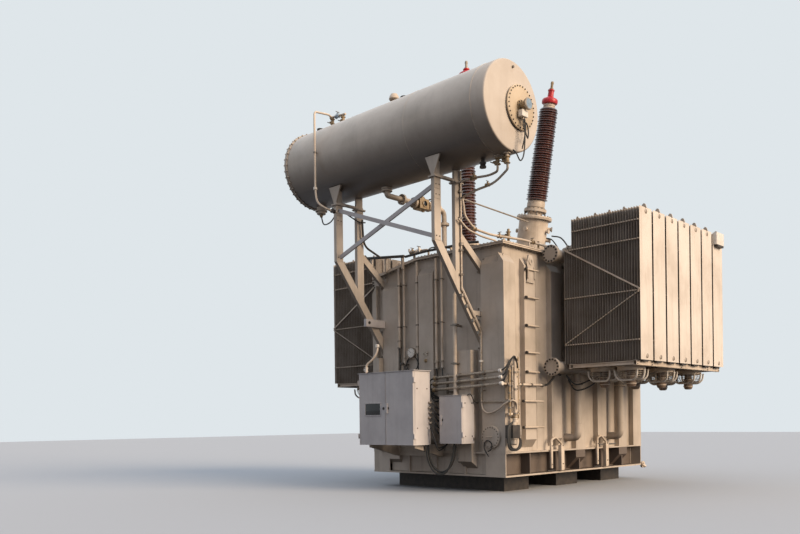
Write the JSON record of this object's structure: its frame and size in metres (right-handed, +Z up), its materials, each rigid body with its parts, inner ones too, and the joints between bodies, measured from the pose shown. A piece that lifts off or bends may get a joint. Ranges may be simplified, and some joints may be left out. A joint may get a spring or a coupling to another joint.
{
  "type": "power transformer",
  "caption": "Oil-filled power transformer: finned radiator banks with fan trays, a conservator on braced posts, a leaning and an upright bushing, and cabinets with hinged doors.",
  "frame": {"origin": "centre of the underside of the middle bearer, on the surface that the transformer stands on", "axes": "+Z up, X along the long sides of the tank with the conservator at the -X end, Y across the tank; the bushing leans towards -Y"},
  "size_m": [6.34, 6.873, 8.3012],
  "materials": {
    "grey_beige_paint": "satin",
    "pale_paint": "satin",
    "brown_porcelain": "gloss",
    "red_cap": "satin",
    "bare_steel": "satin",
    "dark_steel": "matte",
    "black_cable": "matte"
  },
  "bodies": {
    "body": {"base_frame": "grey_beige_paint", "bearer_front": "dark_steel", "bearer_middle": "dark_steel", "bearer_rear": "dark_steel", "brace_falling": "grey_beige_paint", "brace_rising": "grey_beige_paint", "breather_pipe": "grey_beige_paint", "cabinet_bracket": "grey_beige_paint", "cable_conduit": "bare_steel", "cable_loop": "black_cable", "conservator_end": "grey_beige_paint", "conservator_head": "grey_beige_paint", "conservator_shell": "grey_beige_paint", "control_cabinet": "grey_beige_paint", "far_fan_tray": "pale_paint", "far_inner_post": "grey_beige_paint", "far_lower_collector": "grey_beige_paint", "far_outer_post": "grey_beige_paint", "far_radiator_1": "grey_beige_paint", "far_radiator_2": "grey_beige_paint", "far_radiator_3": "grey_beige_paint", "far_radiator_4": "grey_beige_paint", "far_radiator_5": "grey_beige_paint", "far_radiator_6": "grey_beige_paint", "far_radiator_7": "grey_beige_paint", "far_saddle": "grey_beige_paint", "far_top_strut": "grey_beige_paint", "far_upper_collector": "grey_beige_paint", "hand_hole_cover": "grey_beige_paint", "leaning_bushing_cap": "red_cap", "leaning_bushing_porcelain": "brown_porcelain", "leaning_bushing_turret": "grey_beige_paint", "manhole_cover": "grey_beige_paint", "marshalling_box": "grey_beige_paint", "near_fan_tray": "pale_paint", "near_inner_post": "grey_beige_paint", "near_lower_collector": "grey_beige_paint", "near_outer_post": "grey_beige_paint", "near_radiator_1": "grey_beige_paint", "near_radiator_2": "grey_beige_paint", "near_radiator_3": "grey_beige_paint", "near_radiator_4": "grey_beige_paint", "near_radiator_5": "grey_beige_paint", "near_radiator_6": "grey_beige_paint", "near_radiator_7": "grey_beige_paint", "near_saddle": "grey_beige_paint", "near_top_strut": "grey_beige_paint", "near_upper_collector": "grey_beige_paint", "oil_pipe": "grey_beige_paint", "tank_body": "grey_beige_paint", "tank_cover": "grey_beige_paint", "upright_bushing_cap": "red_cap", "upright_bushing_porcelain": "brown_porcelain", "upright_bushing_turret": "grey_beige_paint", "valve_column": "grey_beige_paint"},
    "near_door": {"control_cabinet_near_door": "grey_beige_paint"},
    "far_door": {"control_cabinet_far_door": "grey_beige_paint"},
    "box_door": {"marshalling_box_door": "grey_beige_paint"}
  },
  "joints": [
    {"name": "near_door_hinge", "type": "hinge", "parent": "body", "child": "near_door", "pos_m": [-3.342, -0.347, 0.848], "axis": [0, 0, 1], "range_deg": [0, 110]},
    {"name": "far_door_hinge", "type": "hinge", "parent": "body", "child": "far_door", "pos_m": [-3.342, 1.075, 0.848], "axis": [0, 0, -1], "range_deg": [0, 110]},
    {"name": "box_door_hinge", "type": "hinge", "parent": "body", "child": "box_door", "pos_m": [-2.87, -1.052, 0.87], "axis": [0, 0, 1], "range_deg": [0, 110]}
  ]
}
